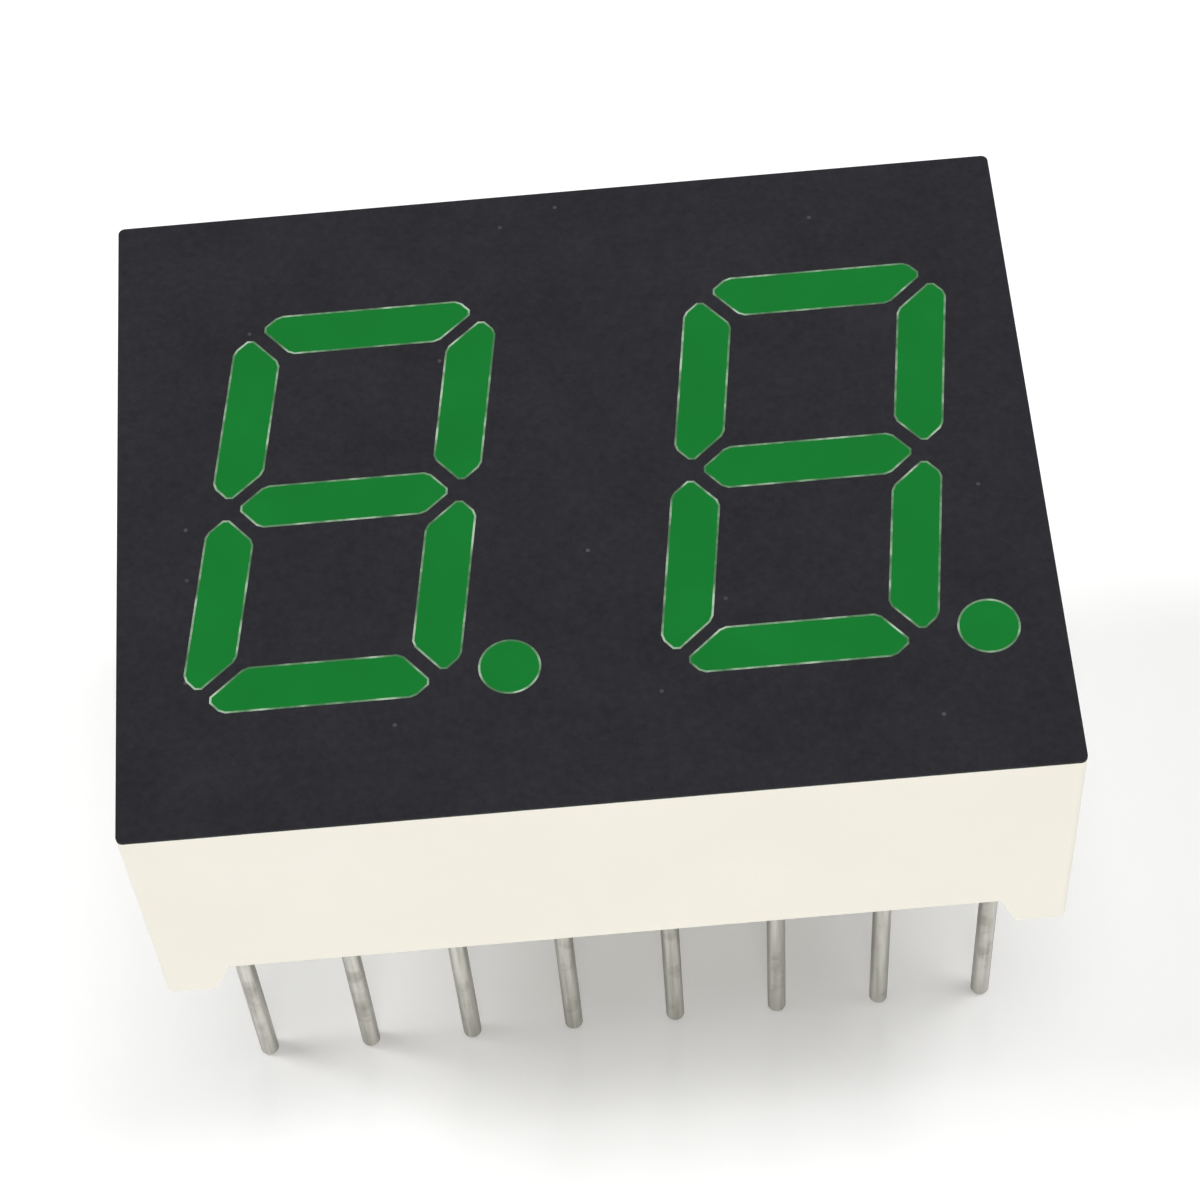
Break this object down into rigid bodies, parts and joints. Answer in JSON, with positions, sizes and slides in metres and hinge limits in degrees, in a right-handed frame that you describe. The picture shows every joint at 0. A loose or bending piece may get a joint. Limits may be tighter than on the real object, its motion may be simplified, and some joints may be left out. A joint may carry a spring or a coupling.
{
  "type": "led display",
  "caption": "Seven-segment numeric display with slanted digits, decimal points, a dark face on a white reflector body, corner feet and rows of solder pins.",
  "frame": {"origin": "middle of the pin pattern, on the plane of the four feet", "axes": "+X along the digits to the right, +Y towards the digits' tops, +Z out of the face"},
  "size_m": [0.02, 0.016, 0.0165],
  "materials": {
    "housing_white": "moulded, satin",
    "mask_dark": "printed, matte",
    "segment_green": "cast resin, satin",
    "pin_tin": "tinned wire",
    "board_laminate": "glass laminate",
    "pad_copper": "plated",
    "die_crystal": "sawn crystal",
    "wire_gold": "drawn wire",
    "fill_resin": "cast resin"
  },
  "bodies": {
    "root": {"housing": "housing_white", "face_mask": "mask_dark", "circuit_board": "board_laminate", "contact_pads": "pad_copper", "bond_wires": "wire_gold", "back_fill": "fill_resin", "left_segment_a": "segment_green", "left_segment_b": "segment_green", "left_segment_c": "segment_green", "left_segment_d": "segment_green", "left_segment_e": "segment_green", "left_segment_f": "segment_green", "left_segment_g": "segment_green", "left_point": "segment_green", "left_die_a": "die_crystal", "left_die_b": "die_crystal", "left_die_c": "die_crystal", "left_die_d": "die_crystal", "left_die_e": "die_crystal", "left_die_f": "die_crystal", "left_die_g": "die_crystal", "left_die_point": "die_crystal", "right_segment_a": "segment_green", "right_segment_b": "segment_green", "right_segment_c": "segment_green", "right_segment_d": "segment_green", "right_segment_e": "segment_green", "right_segment_f": "segment_green", "right_segment_g": "segment_green", "right_point": "segment_green", "right_die_a": "die_crystal", "right_die_b": "die_crystal", "right_die_c": "die_crystal", "right_die_d": "die_crystal", "right_die_e": "die_crystal", "right_die_f": "die_crystal", "right_die_g": "die_crystal", "right_die_point": "die_crystal", "pin_01": "pin_tin", "pin_02": "pin_tin", "pin_03": "pin_tin", "pin_04": "pin_tin", "pin_05": "pin_tin", "pin_06": "pin_tin", "pin_07": "pin_tin", "pin_08": "pin_tin", "pin_09": "pin_tin", "pin_10": "pin_tin", "pin_11": "pin_tin", "pin_12": "pin_tin", "pin_13": "pin_tin", "pin_14": "pin_tin", "pin_15": "pin_tin", "pin_16": "pin_tin"}
  },
  "joints": []
}
